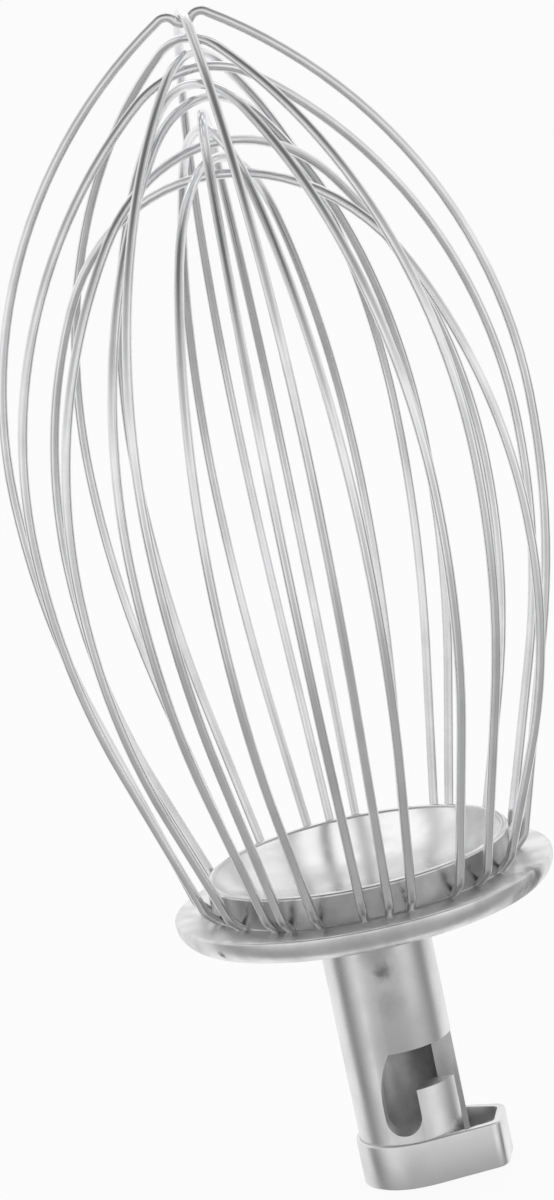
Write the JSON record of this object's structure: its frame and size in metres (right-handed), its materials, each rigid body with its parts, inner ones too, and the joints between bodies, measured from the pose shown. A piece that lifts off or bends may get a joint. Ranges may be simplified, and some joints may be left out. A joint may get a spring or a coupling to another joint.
{
  "type": "stand mixer wire whip",
  "caption": "Balloon whip for a planetary stand mixer: nested wire loops seated round a flanged hub with a dished ring, on a tubular shank with a quarter-turn bayonet slot and collar.",
  "frame": {"origin": "centre of the drive bore's mouth, at the open end of the shank", "axes": "+Z along the whip's axis from the shank's open end to the balloon's tip; +X towards the collar's loop, where the drive pin enters; -Y towards the pin's seat"},
  "size_m": [0.1628, 0.1634, 0.3733],
  "materials": {
    "shank_steel": "satin turned stainless steel",
    "hub_metal": "polished casting",
    "wire_steel": "bright drawn stainless wire"
  },
  "bodies": {
    "root": {"shank": "shank_steel", "slot_collar": "shank_steel", "hub": "hub_metal", "wire_loop_01": "wire_steel", "wire_loop_02": "wire_steel", "wire_loop_03": "wire_steel", "wire_loop_04": "wire_steel", "wire_loop_05": "wire_steel", "wire_loop_06": "wire_steel", "wire_loop_07": "wire_steel", "wire_loop_08": "wire_steel", "wire_loop_09": "wire_steel", "wire_loop_10": "wire_steel", "wire_loop_11": "wire_steel", "wire_loop_12": "wire_steel"}
  },
  "joints": []
}
